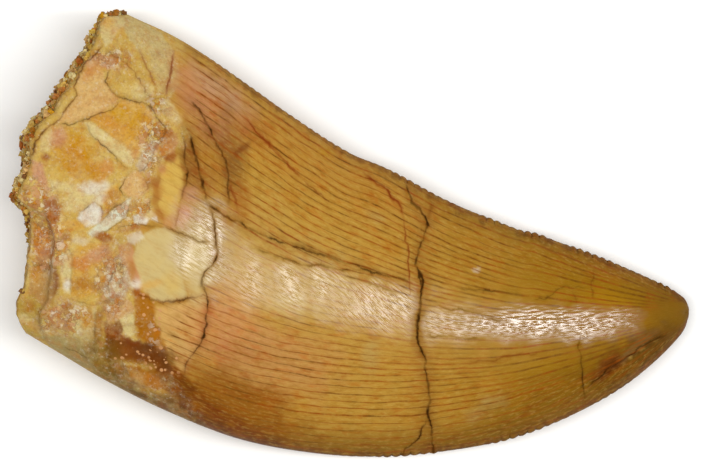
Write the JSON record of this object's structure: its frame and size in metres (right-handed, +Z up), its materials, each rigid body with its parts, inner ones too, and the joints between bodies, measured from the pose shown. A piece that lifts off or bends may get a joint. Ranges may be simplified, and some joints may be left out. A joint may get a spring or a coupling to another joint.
{
  "type": "carcharodontosaurus tooth",
  "caption": "Fossil theropod tooth crown lying on its side: blade shaped, serrated along both edges, with a broken sand-filled base and a worn tip.",
  "frame": {"origin": "the middle of the bounding box, on the surface that the tooth lies on", "axes": "+X towards the tip along the longest extent, +Y towards the hollow-curved distal edge, +Z up through the flat of the blade"},
  "size_m": [0.0482, 0.0317, 0.0102],
  "materials": {
    "fossil_enamel": "satin fossil enamel, honey brown with red-brown hairlines and dark cracks, paler and matt on the broken base"
  },
  "bodies": {
    "root": {"tooth": "fossil_enamel"}
  },
  "joints": []
}
